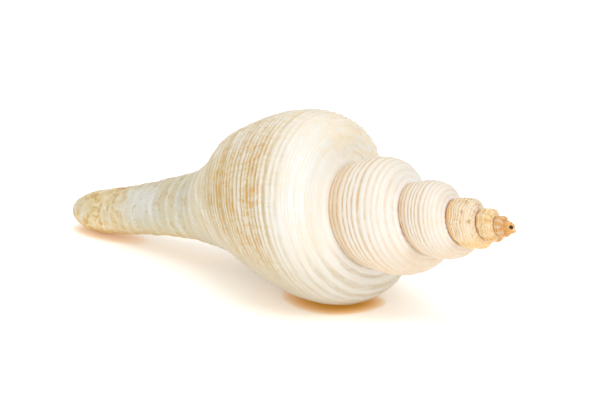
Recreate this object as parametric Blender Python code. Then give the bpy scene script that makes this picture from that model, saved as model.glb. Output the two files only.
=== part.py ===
"""Long-tailed spindle conch: a right-handed sea shell lying on its mouth.

The shell is one wall that coils around an axis and grows as it goes. Every column of points
is its outline in one half-plane through the axis, at one growth angle. The angle is 0 at the
top of the last whorl, and grows over the back to the lip. A row value says where a point is
on the outline: 0 to 1 from the upper seam to the lower one, 1 to 2 over the base to the neck,
2 to 3 along the tail. The next whorl covers each outline from its lower seam on.

The apex points to +X, the mouth faces down and back, and the shell rests at z = 0.
"""
import math

import bmesh
import bpy
import numpy as np
from mathutils import Vector

MM = 0.001
TURN = 2 * math.pi

# Seam between whorls, at the top of the last whorl, in mm from the apex and the axis
SEAM_REACH = 53.75
SEAM_RADIUS = 14.94
REACH_GROWTH = 0.07443
REACH_EASING = -0.000518
RADIUS_GROWTH = 0.07357
RADIUS_EASING = 0.000186

# The last half turn of the seam sinks in a little, and growth slows before the lip
SINK = np.array((-1.0, -1.95))
SINK_START, SINK_FULL, SINK_END = -1.9, 0.9, 3.1
SLOW_START = -0.4
LIP_ANGLE = math.radians(133.0)
LIP_DRAW_BACK = np.array((-5.0, 0.0))

# Roundness of a whorl, as shares of the distance between its two seams
SHOULDER_OUT, SHOULDER_ALONG = 0.394, 0.180
WAIST_OUT, WAIST_ALONG = 0.190, 0.326
LAST_WHORL_SWELL = 0.327
SWELL_START = -1.5 * TURN

# Base, neck and tail
NECK = np.array((104.5, 9.9))
BASE_FULLNESS, NECK_FULLNESS = 0.645, 0.56
TAIL_END, TAIL_RADIUS = 156.0, 6.35
TAIL_TAPER = 2.2
NECK_LIFT, TAIL_DROOP = 1.0, 2.7
LIFT_REACH = (NECK[0] - 22, NECK[0] + 2)
DROOP_REACH = (NECK[0] - 4, TAIL_END - 4)
ROUND_LENGTH, ROUND_SHARE = 13.0, 0.76
FLARE_HEIGHT, FLARE_REACH, FLARE_LENGTH = 2.3, 97.5, 5.5
FLARE_ANGLE = math.radians(-25.0)
FLARE_ROWS = (1.0, 1.3)

# Wall, mouth, pillar and the open channel in the tail
WALL, LIP_WALL = 1.8, 1.3
WALL_GROWTH = 0.8
LIP_THINNING = 0.5
CORNER = 1.05
CORNER_BLEND = 0.3
PILLAR_RADIUS = 3.8
PILLAR_BLEND = 0.8
FLOOR_LEAVES, FLOOR_SETTLED = 0.6, 3.0
TURN_IN_ROW, TURN_IN_LATER, TURN_IN_ANGLE = 1.0, 0.6, 2.5
FLOOR_FULLNESS = 0.45
FOOT_HEADING = np.array((0.12, 0.30))
SLIT_WIDE, SLIT_NARROW = 3.2, 2.2
SLIT_ROWS = (1.45, 2.0)
CHANNEL_WIDE, CHANNEL_NARROW = 2.8, 1.9
CHANNEL_ROWS = (1.5, 2.0)
CHANNEL_DEPTH = 3.6
CHANNEL_COLUMNS = 4

# A low rise on the shoulder of the last whorl, by growth angle and by row
RISE_HEIGHT = 0.75
RISE_ANGLES = (-0.2, 0.4, 0.9, 1.6)
RISE_ROWS = (0.06, 0.2, 0.26, 0.50)

# Ridges that run along the coil, and the knobs of the early whorls
CORDS_ON_WHORL, CORDS_ON_BASE = 8, 6
CORD_HEIGHT = 0.32
CORD_ROWS = (0.0, 0.12, 1.85, 2.0)
CORDS_START, CORDS_FULL = -3.2 * TURN, -2.0 * TURN
KNOBS, KNOB_HEIGHT = 10, 0.045
KNOBS_START, KNOBS_GROWN = -5.9 * TURN, -5.1 * TURN
KNOBS_FULL, KNOBS_GONE = -4.0 * TURN, -2.6 * TURN

# Mesh
APEX = 0.1
COLUMNS = 40
TAIL_ROWS, ROUND_ROWS = 5, 5
INNER_ROWS = [0, 0.12, 0.3, 0.5, 0.7, 0.85, 1.0, 1.25, 1.5, 1.75, 2]
PILLAR_ROWS = [CORNER, 1.2, 1.4, 1.6, 1.8, 2]
SMOOTH_EDGE = math.radians(50)
WHORLS = 5.9
HOLLOW_TURNS = 2.1

# Lie of the shell: the axis rises to the apex, and MIDDLE of it stands at STAND
AXIS_RISE = math.radians(8.4)
MIDDLE = 80.0
STAND = np.array((-1.9, -1.5, 18.555))


def smooth(x, low, high):
    """A soft step from 0 at low to 1 at high."""
    u = np.clip((x - low) / (high - low), 0.0, 1.0)
    return u * u * (3 - 2 * u)


def unit(vector):
    return vector / np.linalg.norm(vector)


def bezier(points, u):
    """Points on a cubic curve, one row for each value of u."""
    u = np.asarray(u, float)[:, None]
    p0, p1, p2, p3 = points
    return (1 - u) ** 3 * p0 + 3 * (1 - u) ** 2 * u * p1 + 3 * (1 - u) * u ** 2 * p2 + u ** 3 * p3


def seam(angle):
    """Where a whorl's upper edge lies: (distance from the apex, radius)."""
    early = min(angle, 0.0)
    reach = SEAM_REACH * math.exp(REACH_GROWTH * angle + REACH_EASING * early ** 2)
    radius = SEAM_RADIUS * math.exp(RADIUS_GROWTH * angle + RADIUS_EASING * early ** 2)
    sunk = smooth(angle, SINK_START, SINK_FULL) * (1 - smooth(angle, LIP_ANGLE, SINK_END))
    return np.array((reach, radius)) + SINK * sunk


def age(angle):
    """The growth angle that the size follows: it slows down before the lip."""
    late = max(angle - SLOW_START, 0.0)
    return angle - late ** 2 / (2 * (LIP_ANGLE - SLOW_START))


def inside_scale(angle):
    """Size of the hollow at an earlier growth angle, against its size at the lip."""
    return math.exp(RADIUS_GROWTH * (angle - LIP_ANGLE))


def foot(angle):
    """Where the floor of the hollow meets the pillar: (distance from the apex, radius)."""
    at_mouth = 1 - smooth(LIP_ANGLE - angle, FLOOR_LEAVES, FLOOR_SETTLED)
    channel_floor = NECK[1] - CHANNEL_DEPTH - CHANNEL_WIDE
    radius = PILLAR_RADIUS + (channel_floor - PILLAR_RADIUS) * at_mouth
    return np.array((NECK[0], radius)) * inside_scale(angle)


def evenly(curve, shares):
    """Points at shares of a cubic curve's length."""
    fine = bezier(curve, np.linspace(0, 1, 41))
    length = np.concatenate(([0], np.cumsum(np.linalg.norm(np.diff(fine, axis=0), axis=1))))
    wanted = np.asarray(shares) * length[-1]
    return np.stack((np.interp(wanted, length, fine[:, 0]), np.interp(wanted, length, fine[:, 1])), 1)


def base_end(angle):
    """Where a column's base ends, and its direction there: at the neck, or inside at a foot."""
    tail = unit(np.array((TAIL_END - NECK[0], (TAIL_RADIUS - NECK[1]) * TAIL_TAPER)))
    inside = smooth(LIP_ANGLE - TURN - angle, 0.0, PILLAR_BLEND)
    if inside == 0:
        return NECK, tail
    return NECK * (1 - inside) + foot(angle + TURN) * inside, tail


def outline(angle, rows):
    """Outline of the outer surface at one growth angle: (distance from the apex, radius)."""
    rows = np.asarray(rows, float)
    upper = seam(angle)
    lower = seam(age(angle) + TURN) + LIP_DRAW_BACK * smooth(angle, 0.0, LIP_ANGLE)
    along = unit(lower - upper)
    span = np.linalg.norm(lower - upper)
    out = np.array((-along[1], along[0]))
    swell = 1 + LAST_WHORL_SWELL * smooth(angle, SWELL_START, 0.0)
    shoulder = upper + span * (SHOULDER_OUT * swell * out + SHOULDER_ALONG * along)
    waist = lower + span * (WAIST_OUT * swell * out - WAIST_ALONG * along)
    end, heading = base_end(angle)
    reach = np.linalg.norm(end - lower)
    base = (lower, lower + unit(lower - waist) * reach * BASE_FULLNESS,
            end - heading * reach * NECK_FULLNESS, end)
    points = np.empty((len(rows), 2))
    whorl, low, last = rows <= 1, (rows > 1) & (rows <= 2), rows > 2
    points[whorl] = evenly((upper, shoulder, waist, lower), rows[whorl])
    points[low] = evenly(base, rows[low] - 1)
    u = rows[last] - 2
    points[last, 0] = NECK[0] + (TAIL_END - NECK[0]) * u
    radius = TAIL_RADIUS + (NECK[1] - TAIL_RADIUS) * (1 - u) ** TAIL_TAPER
    rounding = np.clip((points[last, 0] - TAIL_END) / ROUND_LENGTH + 1, 0, 1)
    points[last, 1] = radius * np.sqrt(1 - ROUND_SHARE * rounding ** 2)
    if angle > LIP_ANGLE - TURN:
        points[:, 1] += flare(angle, points[:, 0]) * smooth(rows, *FLARE_ROWS)
    return points


def flare(angle, reach):
    """Extra radius where the back of the base runs into the neck."""
    facing = max(math.cos(angle - FLARE_ANGLE), 0.0) ** 2
    return FLARE_HEIGHT * facing * np.exp(-((reach - FLARE_REACH) / FLARE_LENGTH) ** 2)


def outward(angle, rows):
    """Directions out of the wall, in the half-plane of the column."""
    step = 0.004
    ahead = outline(angle, np.minimum(np.asarray(rows) + step, 3))
    behind = outline(angle, np.maximum(np.asarray(rows) - step, 0))
    run = ahead - behind
    run /= np.linalg.norm(run, axis=1)[:, None]
    return np.stack((-run[:, 1], run[:, 0]), 1)


def hump(x, marks):
    """Rises from 0 to 1 between the first two marks, and falls back between the last two."""
    return smooth(x, marks[0], marks[1]) * (1 - smooth(x, marks[2], marks[3]))


def relief(angle, rows):
    """Height of cords, knobs and the shoulder's rise above the smooth surface, in mm."""
    rows = np.asarray(rows, float)
    size = math.exp(RADIUS_GROWTH * min(angle, 0.0))
    wave = np.where(rows <= 1, np.cos(TURN * CORDS_ON_WHORL * rows), np.cos(TURN * CORDS_ON_BASE * rows))
    fade = hump(rows, CORD_ROWS) * smooth(angle, CORDS_START, CORDS_FULL)
    height = -CORD_HEIGHT * size * wave * fade
    span = np.linalg.norm(seam(angle + TURN) - seam(angle))
    share = smooth(angle, KNOBS_START, KNOBS_GROWN) * (1 - smooth(angle, KNOBS_FULL, KNOBS_GONE))
    knob = KNOB_HEIGHT * span * share * math.cos(KNOBS * angle) * np.sin(math.pi * np.clip(rows, 0, 1))
    return height + knob + RISE_HEIGHT * hump(angle, RISE_ANGLES) * hump(rows, RISE_ROWS)


def opening(rows):
    """Half the angle that the channel's slit takes out of the tail at each row."""
    share = smooth(rows, *SLIT_ROWS)
    width = SLIT_WIDE + (SLIT_NARROW - SLIT_WIDE) * np.clip(rows - 2, 0, 1)
    radius = outline(LIP_ANGLE, rows)[:, 1]
    return share * 0.5 * width / radius


def place(angles, points):
    """Points in space, in mm, from growth angles and (distance from the apex, radius)."""
    lift = NECK_LIFT * smooth(points[:, 0], *LIFT_REACH)
    droop = (TAIL_DROOP + NECK_LIFT) * smooth(points[:, 0], *DROOP_REACH)
    up = points[:, 1] * np.cos(angles) + lift - droop
    back = points[:, 1] * np.sin(angles)
    along = MIDDLE - points[:, 0]
    rise, level = math.sin(AXIS_RISE), math.cos(AXIS_RISE)
    return STAND + np.stack((along * level - up * rise, back, along * rise + up * level), 1)


def outer_column(angle, rows):
    """One column of the outer surface."""
    rows = np.asarray(rows, float)
    points = outline(angle, rows) + outward(angle, rows) * relief(angle, rows)[:, None]
    squeeze = np.clip((angle - LIP_ANGLE) / math.pi + 1, -1, 1)
    return place(angle - squeeze * opening(rows), points)


def channel_column(step, rows):
    """Round wall of the tail's channel; step runs from 0 at the lip to 2 at the pillar."""
    rows = np.asarray(rows, float)
    size = CHANNEL_WIDE + (CHANNEL_NARROW - CHANNEL_WIDE) * np.clip(rows - 2, 0, 1)
    points = outline(LIP_ANGLE, rows)
    radial = points[:, 1] - CHANNEL_DEPTH * size / CHANNEL_WIDE + size * math.cos(math.pi * step)
    sideways = size * math.sin(math.pi * step)
    angles = LIP_ANGLE - np.arctan2(sideways, radial)
    return place(angles, np.stack((points[:, 0], np.hypot(radial, sideways)), 1))


def wall(angle):
    """Thickness of the wall at a growth angle."""
    size = math.exp(RADIUS_GROWTH * min(angle, 0.0))
    thinned = smooth(angle, LIP_ANGLE - LIP_THINNING, LIP_ANGLE)
    return (WALL + (LIP_WALL - WALL) * thinned) * size ** WALL_GROWTH


def inner_column(angle, rows):
    """Inside of the outer wall: from the corner at the seam, round the floor, to the foot."""
    rows = np.asarray(rows, float)
    turn_in = TURN_IN_ROW + TURN_IN_LATER * (1 - smooth(LIP_ANGLE - angle, 0.0, TURN_IN_ANGLE))
    followed = np.minimum(rows, turn_in)
    points = outline(angle, followed) - outward(angle, followed) * wall(angle)
    corner = outline(angle - TURN, [CORNER])[0]
    points += (corner - points[0]) * (1 - smooth(rows, 0.0, CORNER_BLEND))[:, None]
    ends = [turn_in - 0.02, turn_in]
    pair = outline(angle, ends) - outward(angle, ends) * wall(angle)
    goal = foot(angle)
    reach = np.linalg.norm(goal - pair[1])
    floor = (pair[1], pair[1] + unit(pair[1] - pair[0]) * reach * FLOOR_FULLNESS,
             goal + FOOT_HEADING * reach, goal)
    low = rows > turn_in
    points[low] = evenly(floor, (rows[low] - turn_in) / (2 - turn_in))
    return place(np.full(len(rows), angle), points)


def pillar_column(angle, rows):
    """Inner wall of the hollow: the whorl before, and the pillar under it."""
    rows = np.asarray(rows, float)
    return place(np.full(len(rows), angle), outline(angle, rows))


def mixed(first, second, share):
    """Points between two columns."""
    return first * (1 - share)[:, None] + second * share[:, None]


def fill(mesh, left, right):
    """Faces between two columns of (row, vertex) pairs, which may differ in number."""
    i = j = 0
    while i < len(left) - 1 or j < len(right) - 1:
        row_left = left[i + 1][0] if i < len(left) - 1 else math.inf
        row_right = right[j + 1][0] if j < len(right) - 1 else math.inf
        corners = [left[i][1]]
        if row_left <= row_right:
            i += 1
            corners.append(left[i][1])
        corners.append(right[j][1])
        if row_right <= row_left:
            j += 1
            corners.insert(-1, right[j][1])
        corners = list(dict.fromkeys(corners))
        if len(corners) > 2:
            mesh.faces.new(corners)


def even_rows(low, high, steps):
    return [low + (high - low) * i / steps for i in range(steps + 1)]


class Skin:
    """Vertices of the shell, by column number (0 at the lip) and row."""

    def __init__(self, mesh):
        self.mesh = mesh
        self.outer, self.inner, self.pillar = {}, {}, {}

    def angle(self, column):
        return LIP_ANGLE + column * TURN / COLUMNS

    def add(self, store, column, rows, points):
        """Store the rows of a column that aren't there yet."""
        for row, point in zip(rows, points):
            if (column, row) not in store:
                store[column, row] = self.mesh.verts.new(Vector(point) * MM)

    def column(self, store, column, rows):
        return [(row, store[column, row]) for row in rows]


def build_outside(skin):
    """Outer surface: the last whorl down to the tail's end, and the spire."""
    first = -int(WHORLS * COLUMNS)
    whorl_fine = even_rows(0, 1, 2 * CORDS_ON_WHORL)
    whorl_plain = even_rows(0, 1, CORDS_ON_WHORL)
    round_row = 3 - ROUND_LENGTH / (TAIL_END - NECK[0])
    below = [CORNER] + even_rows(1, 2, 2 * CORDS_ON_BASE)[1:] + even_rows(2, round_row, TAIL_ROWS)[1:]
    below += [round_row + (3 - round_row) * (1 - (1 - i / ROUND_ROWS) ** 2) for i in range(1, ROUND_ROWS + 1)]
    for column in range(0, first - 1, -1):
        rows = list(whorl_fine if column > -2 * COLUMNS else whorl_plain)
        if column >= -COLUMNS:
            rows += below
        angle = skin.angle(column)
        if column <= -COLUMNS:
            skin.outer[column, 1] = skin.outer[column + COLUMNS, 0]
        skin.add(skin.outer, column, rows, outer_column(angle, rows))
    for column in range(0, first, -1):
        here = whorl_fine if column > -2 * COLUMNS else whorl_plain
        before = whorl_fine if column - 1 > -2 * COLUMNS else whorl_plain
        fill(skin.mesh, skin.column(skin.outer, column, here), skin.column(skin.outer, column - 1, before))
        if column > -COLUMNS:
            rows = [1] + below
            fill(skin.mesh, skin.column(skin.outer, column, rows), skin.column(skin.outer, column - 1, rows))
    skin.mesh.faces.new([skin.outer[first, row] for row in whorl_plain])
    rim = [skin.outer[column, 0] for column in range(first, first + COLUMNS + 1)]
    tip = skin.mesh.verts.new(Vector(place(np.array((0.0,)), np.array(((APEX, 0.0),)))[0]) * MM)
    for one, other in zip(rim, rim[1:] + rim[:1]):
        skin.mesh.faces.new((one, other, tip))
    return below


def build_inside(skin, below):
    """The hollow from the lip to its end, and the channel in the tail."""
    last = -int(HOLLOW_TURNS * COLUMNS)
    base_rows = [1] + below[1:]
    tail_rows = [row for row in below if row >= 2]
    for column in range(0, last - 1, -1):
        angle, behind = skin.angle(column), column - COLUMNS
        step = -column / CHANNEL_COLUMNS
        near = column >= -CHANNEL_COLUMNS
        if column < 0:
            points = pillar_column(angle - TURN, PILLAR_ROWS)
            if near:
                share = smooth(np.asarray(PILLAR_ROWS), *CHANNEL_ROWS)
                points = mixed(points, channel_column(2 - step, PILLAR_ROWS), share)
            skin.add(skin.pillar, behind, PILLAR_ROWS, points)
        else:
            for row in [CORNER] + below:
                skin.pillar[behind, row] = skin.outer[behind, row]
        if near and column < 0:
            skin.add(skin.pillar, behind, tail_rows, channel_column(2 - step, tail_rows))
        skin.inner[column, 0] = skin.pillar[behind, CORNER]
        if column < -CHANNEL_COLUMNS:
            skin.inner[column, 2] = skin.pillar[behind, 2]
        elif column == -CHANNEL_COLUMNS:
            for row in tail_rows:
                skin.inner[column, row] = skin.pillar[behind, row]
        points = inner_column(angle, INNER_ROWS)
        if near and column < 0:
            share = smooth(np.asarray(INNER_ROWS), *CHANNEL_ROWS)
            points = mixed(points, channel_column(step, INNER_ROWS), share)
            skin.add(skin.inner, column, INNER_ROWS, points)
            skin.add(skin.inner, column, tail_rows, channel_column(step, tail_rows))
        elif column == 0:
            skin.add(skin.inner, 0, [row for row in INNER_ROWS if row < 1], points)
            edge = outline(angle, base_rows) - outward(angle, base_rows) * LIP_WALL
            skin.add(skin.inner, 0, base_rows, place(angle - opening(np.asarray(base_rows)), edge))
        else:
            skin.add(skin.inner, column, INNER_ROWS, points)
    return last


def close_inside(skin, below, last):
    """Faces of the hollow, the channel, the lip's edge and the tail's end."""
    tail_rows = [row for row in below if row >= 2]
    mouth_rows = [row for row in INNER_ROWS if row < 1] + [1] + below[1:]
    for column in range(0, last, -1):
        rows = [row for row in mouth_rows if row <= 2] if column == 0 else INNER_ROWS
        fill(skin.mesh, skin.column(skin.inner, column, rows),
             skin.column(skin.inner, column - 1, INNER_ROWS))
        behind = column - COLUMNS
        rows = [row for row in below if row <= 2] if column == 0 else PILLAR_ROWS
        fill(skin.mesh, skin.column(skin.pillar, behind, rows),
             skin.column(skin.pillar, behind - 1, PILLAR_ROWS))
        if column > -CHANNEL_COLUMNS:
            for store, place_in in ((skin.inner, column), (skin.pillar, behind)):
                fill(skin.mesh, skin.column(store, place_in, tail_rows),
                     skin.column(store, place_in - 1, tail_rows))
    loop = [skin.inner[last, row] for row in INNER_ROWS]
    loop += [skin.pillar[last - COLUMNS, row] for row in PILLAR_ROWS[-2:0:-1]]
    middle = skin.mesh.verts.new(sum((vertex.co for vertex in loop), Vector()) / len(loop))
    for one, other in zip(loop, loop[1:] + loop[:1]):
        skin.mesh.faces.new((one, other, middle))
    edge_rows = even_rows(0, 1, 2 * CORDS_ON_WHORL) + below
    fill(skin.mesh, skin.column(skin.outer, 0, edge_rows), skin.column(skin.inner, 0, mouth_rows))
    end = [skin.outer[column, 3] for column in range(-COLUMNS, 1)]
    end += [skin.inner[column, 3] for column in range(0, -CHANNEL_COLUMNS - 1, -1)]
    end += [skin.pillar[column - COLUMNS, 3] for column in range(-CHANNEL_COLUMNS + 1, 0)]
    skin.mesh.faces.new(end)


def shell_material():
    """Worn lime, off-white with a faint warm tone."""
    material = bpy.data.materials.new("shell_lime")
    material.use_nodes = True
    shader = material.node_tree.nodes["Principled BSDF"]
    shader.inputs["Base Color"].default_value = (0.80, 0.71, 0.58, 1)
    shader.inputs["Roughness"].default_value = 0.45
    shader.inputs["Metallic"].default_value = 0.0
    return material


def build():
    for item in list(bpy.context.scene.objects):
        bpy.data.objects.remove(item, do_unlink=True)
    collection = bpy.data.collections.new("conch_shell")
    bpy.context.scene.collection.children.link(collection)
    mesh = bmesh.new()
    skin = Skin(mesh)
    below = build_outside(skin)
    close_inside(skin, below, build_inside(skin, below))
    bmesh.ops.triangulate(mesh, faces=mesh.faces[:])
    bmesh.ops.recalc_face_normals(mesh, faces=mesh.faces[:])
    if mesh.calc_volume(signed=True) < 0:
        bmesh.ops.reverse_faces(mesh, faces=mesh.faces[:])
    data = bpy.data.meshes.new("shell")
    mesh.to_mesh(data)
    mesh.free()
    data.materials.append(shell_material())
    data.shade_smooth()
    data.set_sharp_from_angle(angle=SMOOTH_EDGE)
    shell = bpy.data.objects.new("shell", data)
    collection.objects.link(shell)


build()
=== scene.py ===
"""A long-tailed spindle conch on a pale table, in soft studio light.

The shell is one wall that coils around an axis. A growth angle runs along the coil (0 at the
top of the last whorl, in radians), and a row value runs across it: 0 to 1 from the upper seam
to the lower one, 1 to 2 over the base to the neck, and 2 to 3 along the tail.
"""

import logging
import math
from dataclasses import dataclass, field
from enum import Enum

import bmesh
import bpy
import numpy as np
from mathutils import Matrix, Vector

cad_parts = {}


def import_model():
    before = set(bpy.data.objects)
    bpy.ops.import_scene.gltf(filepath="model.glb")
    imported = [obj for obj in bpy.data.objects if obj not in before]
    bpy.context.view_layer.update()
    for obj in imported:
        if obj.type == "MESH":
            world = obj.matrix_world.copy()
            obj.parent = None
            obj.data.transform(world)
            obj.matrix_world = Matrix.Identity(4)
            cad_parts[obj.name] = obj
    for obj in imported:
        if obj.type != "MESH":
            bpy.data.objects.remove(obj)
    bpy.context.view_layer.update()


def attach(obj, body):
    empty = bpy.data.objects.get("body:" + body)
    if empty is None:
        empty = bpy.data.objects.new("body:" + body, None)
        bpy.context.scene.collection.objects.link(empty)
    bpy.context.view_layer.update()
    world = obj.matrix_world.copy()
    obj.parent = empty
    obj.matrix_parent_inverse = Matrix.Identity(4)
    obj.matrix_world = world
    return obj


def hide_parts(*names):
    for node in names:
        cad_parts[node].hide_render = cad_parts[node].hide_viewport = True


LOG = logging.getLogger("conch")
MM = 0.001
TURN = 2 * math.pi
Colour = tuple[float, float, float]
Marks = tuple[float, float, float, float]
Socket = bpy.types.NodeSocket


def smooth(x: np.ndarray, low: float, high: float) -> np.ndarray:
    """A soft step from 0 at low to 1 at high."""
    u = np.clip((np.asarray(x, float) - low) / (high - low), 0.0, 1.0)
    return u * u * (3 - 2 * u)


def hump(x: np.ndarray, marks: Marks) -> np.ndarray:
    """Rises from 0 to 1 between the first two marks, and falls back between the last two."""
    return smooth(x, marks[0], marks[1]) * (1 - smooth(x, marks[2], marks[3]))


def unit(vector: np.ndarray) -> np.ndarray:
    """The vector at length 1."""
    return vector / np.linalg.norm(vector)


def evenly(curve: tuple[np.ndarray, ...], shares: np.ndarray) -> np.ndarray:
    """Points at shares of a cubic curve's length.

    Args:
        curve: The curve's four control points.
        shares: Shares of its length, from 0 to 1.

    Returns:
        One point for each share.
    """
    u = np.linspace(0, 1, 61)[:, None]
    p0, p1, p2, p3 = curve
    fine = (1 - u) ** 3 * p0 + 3 * (1 - u) ** 2 * u * p1 + 3 * (1 - u) * u ** 2 * p2 + u ** 3 * p3
    length = np.concatenate(([0], np.cumsum(np.linalg.norm(np.diff(fine, axis=0), axis=1))))
    wanted = np.asarray(shares) * length[-1]
    return np.stack((np.interp(wanted, length, fine[:, 0]), np.interp(wanted, length, fine[:, 1])), 1)


def even_rows(low: float, high: float, steps: int) -> list[float]:
    """Evenly spaced row values, both ends included."""
    return [low + (high - low) * i / steps for i in range(steps + 1)]


@dataclass
class Coil:
    """The smooth form of the shell's wall, in mm from the apex and the axis."""

    seam_reach: float = 53.75
    seam_radius: float = 14.94
    reach_growth: float = 0.07443
    reach_easing: float = -0.000518
    radius_growth: float = 0.07357
    radius_easing: float = 0.000186
    sink: tuple[float, float] = (-1.0, -1.95)
    sink_angles: tuple[float, float, float] = (-1.9, 0.9, 3.1)
    slow_start: float = -0.4
    lip: float = math.radians(133.0)
    lip_draw_back: float = -5.0
    shoulder: tuple[float, float] = (0.394, 0.180)
    waist: tuple[float, float] = (0.190, 0.326)
    swell: float = 0.327
    swell_start: float = -1.5 * TURN
    neck: tuple[float, float] = (104.5, 9.9)
    base_fullness: float = 0.645
    neck_fullness: float = 0.56
    tail_end: float = 156.0
    tail_radius: float = 6.35
    tail_taper: float = 2.2
    neck_lift: float = 1.0
    tail_droop: float = 2.7
    lift_span: tuple[float, float] = (-22.0, 2.0)
    droop_span: tuple[float, float] = (-4.0, -4.0)
    flare_height: float = 2.3
    flare_reach: float = 97.5
    flare_length: float = 5.5
    flare_angle: float = math.radians(-25.0)
    flare_rows: tuple[float, float] = (1.0, 1.3)
    round_length: float = 13.0
    round_share: float = 0.76
    wall_mm: float = 1.8
    lip_wall: float = 1.3
    lip_thinning: float = 0.5
    wall_growth: float = 0.8
    corner: float = 1.05
    pillar_radius: float = 3.8
    pillar_blend: float = 0.8
    floor_angles: tuple[float, float] = (0.6, 3.0)
    slit: tuple[float, float] = (3.2, 2.2)
    slit_rows: tuple[float, float] = (1.45, 2.0)
    channel: tuple[float, float] = (2.8, 1.9)
    channel_depth: float = 3.6
    axis_rise: float = math.radians(8.4)
    middle: float = 80.0
    stand: tuple[float, float, float] = (-1.9, -1.5, 18.555)

    def seam(self, angle: float) -> np.ndarray:
        """Where a whorl's upper edge lies.

        Args:
            angle: The growth angle.

        Returns:
            (distance from the apex, radius).
        """
        early = min(angle, 0.0)
        reach = self.seam_reach * math.exp(self.reach_growth * angle + self.reach_easing * early ** 2)
        radius = self.seam_radius * math.exp(self.radius_growth * angle + self.radius_easing * early ** 2)
        start, full, end = self.sink_angles
        sunk = smooth(angle, start, full) * (1 - smooth(angle, self.lip, end))
        return np.array((reach, radius)) + np.array(self.sink) * sunk

    def age(self, angle: float) -> float:
        """The growth angle that the size follows: it slows down before the lip."""
        late = max(angle - self.slow_start, 0.0)
        return angle - late ** 2 / (2 * (self.lip - self.slow_start))

    def size(self, angle: float) -> float:
        """How large the whorl is, against the last one."""
        return math.exp(self.radius_growth * min(angle, 0.0))

    def foot(self, angle: float) -> np.ndarray:
        """Where the floor of the hollow meets the pillar.

        Args:
            angle: The growth angle.

        Returns:
            (distance from the apex, radius).
        """
        at_mouth = 1 - smooth(self.lip - angle, *self.floor_angles)
        channel_floor = self.neck[1] - self.channel_depth - self.channel[0]
        radius = self.pillar_radius + (channel_floor - self.pillar_radius) * at_mouth
        return np.array((self.neck[0], radius)) * math.exp(self.radius_growth * (angle - self.lip))

    def outline(self, angle: float, rows: np.ndarray) -> np.ndarray:
        """Outline of the smooth outer surface at one growth angle.

        Args:
            angle: The growth angle.
            rows: Row values, from 0 to 3.

        Returns:
            (distance from the apex, radius) for each row.
        """
        rows = np.asarray(rows, float)
        upper = self.seam(angle)
        draw_back = np.array((self.lip_draw_back, 0.0)) * smooth(angle, 0.0, self.lip)
        lower = self.seam(self.age(angle) + TURN) + draw_back
        along = unit(lower - upper)
        span = np.linalg.norm(lower - upper)
        out = np.array((-along[1], along[0]))
        swell = 1 + self.swell * smooth(angle, self.swell_start, 0.0)
        shoulder = upper + span * (self.shoulder[0] * swell * out + self.shoulder[1] * along)
        waist = lower + span * (self.waist[0] * swell * out - self.waist[1] * along)
        neck = np.array(self.neck)
        heading = unit(np.array((self.tail_end - neck[0], (self.tail_radius - neck[1]) * self.tail_taper)))
        inside = smooth(self.lip - TURN - angle, 0.0, self.pillar_blend)
        end = neck if inside == 0 else neck * (1 - inside) + self.foot(angle + TURN) * inside
        reach = np.linalg.norm(end - lower)
        base = (lower, lower + unit(lower - waist) * reach * self.base_fullness,
                end - heading * reach * self.neck_fullness, end)
        points = np.empty((len(rows), 2))
        whorl, low, last = rows <= 1, (rows > 1) & (rows <= 2), rows > 2
        points[whorl] = evenly((upper, shoulder, waist, lower), rows[whorl])
        points[low] = evenly(base, rows[low] - 1)
        u = rows[last] - 2
        points[last, 0] = neck[0] + (self.tail_end - neck[0]) * u
        radius = self.tail_radius + (neck[1] - self.tail_radius) * (1 - u) ** self.tail_taper
        rounding = np.clip((points[last, 0] - self.tail_end) / self.round_length + 1, 0, 1)
        points[last, 1] = radius * np.sqrt(1 - self.round_share * rounding ** 2)
        if angle > self.lip - TURN:
            points[:, 1] += self.flare(angle, points[:, 0]) * smooth(rows, *self.flare_rows)
        return points

    def flare(self, angle: float, reach: np.ndarray) -> np.ndarray:
        """Extra radius where the back of the base runs into the neck.

        Args:
            angle: The growth angle.
            reach: Distances from the apex.

        Returns:
            The extra radius at each distance.
        """
        facing = max(math.cos(angle - self.flare_angle), 0.0) ** 2
        return self.flare_height * facing * np.exp(-((reach - self.flare_reach) / self.flare_length) ** 2)

    def outward(self, angle: float, rows: np.ndarray) -> np.ndarray:
        """Directions out of the wall, in the half-plane of the column.

        Args:
            angle: The growth angle.
            rows: Row values.

        Returns:
            One direction of length 1 for each row.
        """
        step = 0.004
        run = self.outline(angle, np.minimum(np.asarray(rows) + step, 3))
        run = run - self.outline(angle, np.maximum(np.asarray(rows) - step, 0))
        run /= np.linalg.norm(run, axis=1)[:, None]
        return np.stack((-run[:, 1], run[:, 0]), 1)

    def opening(self, rows: np.ndarray) -> np.ndarray:
        """How far the channel's slit opens the tail.

        Args:
            rows: Row values.

        Returns:
            Half the angle that the slit takes out at each row.
        """
        wide, narrow = self.slit
        width = wide + (narrow - wide) * np.clip(rows - 2, 0, 1)
        return smooth(rows, *self.slit_rows) * 0.5 * width / self.outline(self.lip, rows)[:, 1]

    def place(self, angles: np.ndarray, points: np.ndarray) -> np.ndarray:
        """Points in space, in mm.

        Args:
            angles: Growth angles.
            points: (distance from the apex, radius) pairs.

        Returns:
            One point in space for each pair.
        """
        reach = points[:, 0]
        neck, end = self.neck[0], self.tail_end
        lift = self.neck_lift * smooth(reach, neck + self.lift_span[0], neck + self.lift_span[1])
        fallen = smooth(reach, neck + self.droop_span[0], end + self.droop_span[1])
        droop = (self.tail_droop + self.neck_lift) * fallen
        up = points[:, 1] * np.cos(angles) + lift - droop
        back = points[:, 1] * np.sin(angles)
        along = self.middle - reach
        rise, level = math.sin(self.axis_rise), math.cos(self.axis_rise)
        turned = np.stack((along * level - up * rise, back, along * rise + up * level), 1)
        return np.array(self.stand) + turned

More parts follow.
